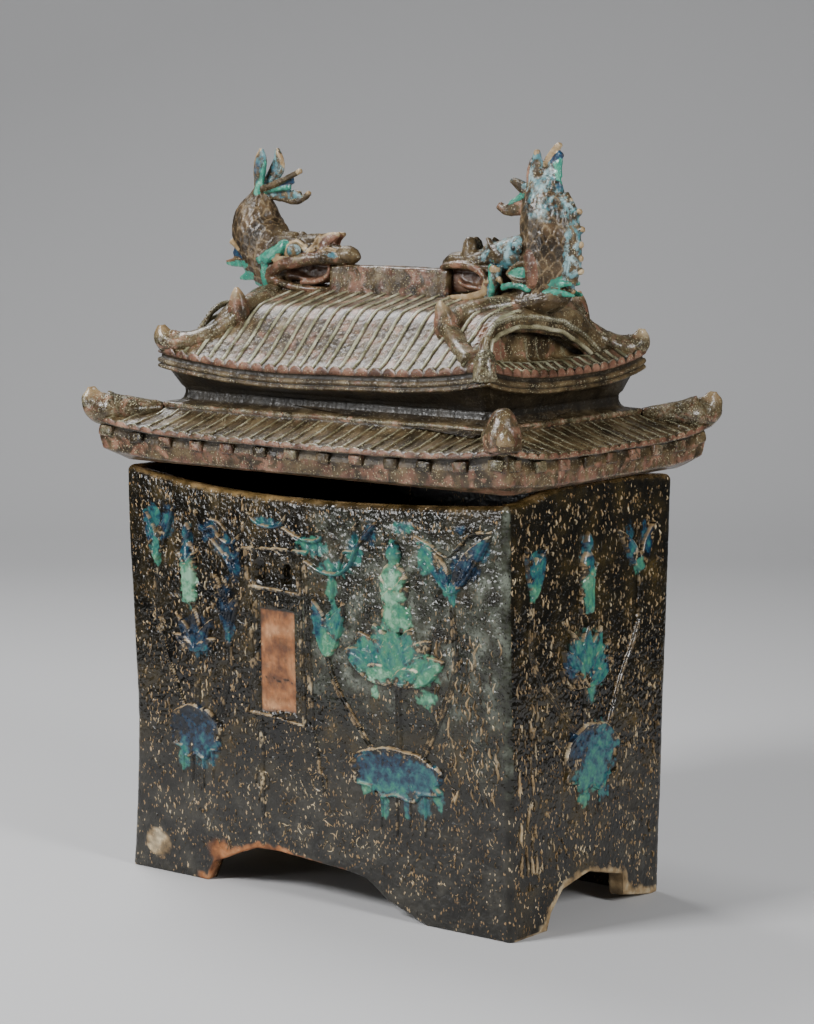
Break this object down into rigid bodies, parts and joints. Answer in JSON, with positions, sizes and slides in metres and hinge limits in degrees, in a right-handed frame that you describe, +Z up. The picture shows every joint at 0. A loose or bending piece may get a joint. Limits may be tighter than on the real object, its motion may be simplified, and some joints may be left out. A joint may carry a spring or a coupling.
{
  "type": "funerary urn",
  "caption": "Footed rectangular glazed stoneware burial urn shaped as a small palace, with moulded figures and lotus on its walls and a lift-off tiled roof lid with open-mouthed fish-dragons.",
  "frame": {"origin": "on the floor under the middle of the urn, between the feet", "axes": "+Z up, -Y towards the front with the shrine gate, +X towards the urn's right-hand side as seen from the front"},
  "size_m": [0.4895, 0.331, 0.6843],
  "materials": {
    "iron_glaze": "glossy dark olive-brown iron glaze over stoneware, with turquoise glaze on the relief and bare clay on the door panel",
    "thin_roof_glaze": "thin brown and olive glaze that breaks to pink clay and pale green on the tile rolls, with turquoise pools on the fish-dragons"
  },
  "bodies": {
    "root": {"urn_box": "iron_glaze", "urn_lid": "thin_roof_glaze"}
  },
  "joints": []
}
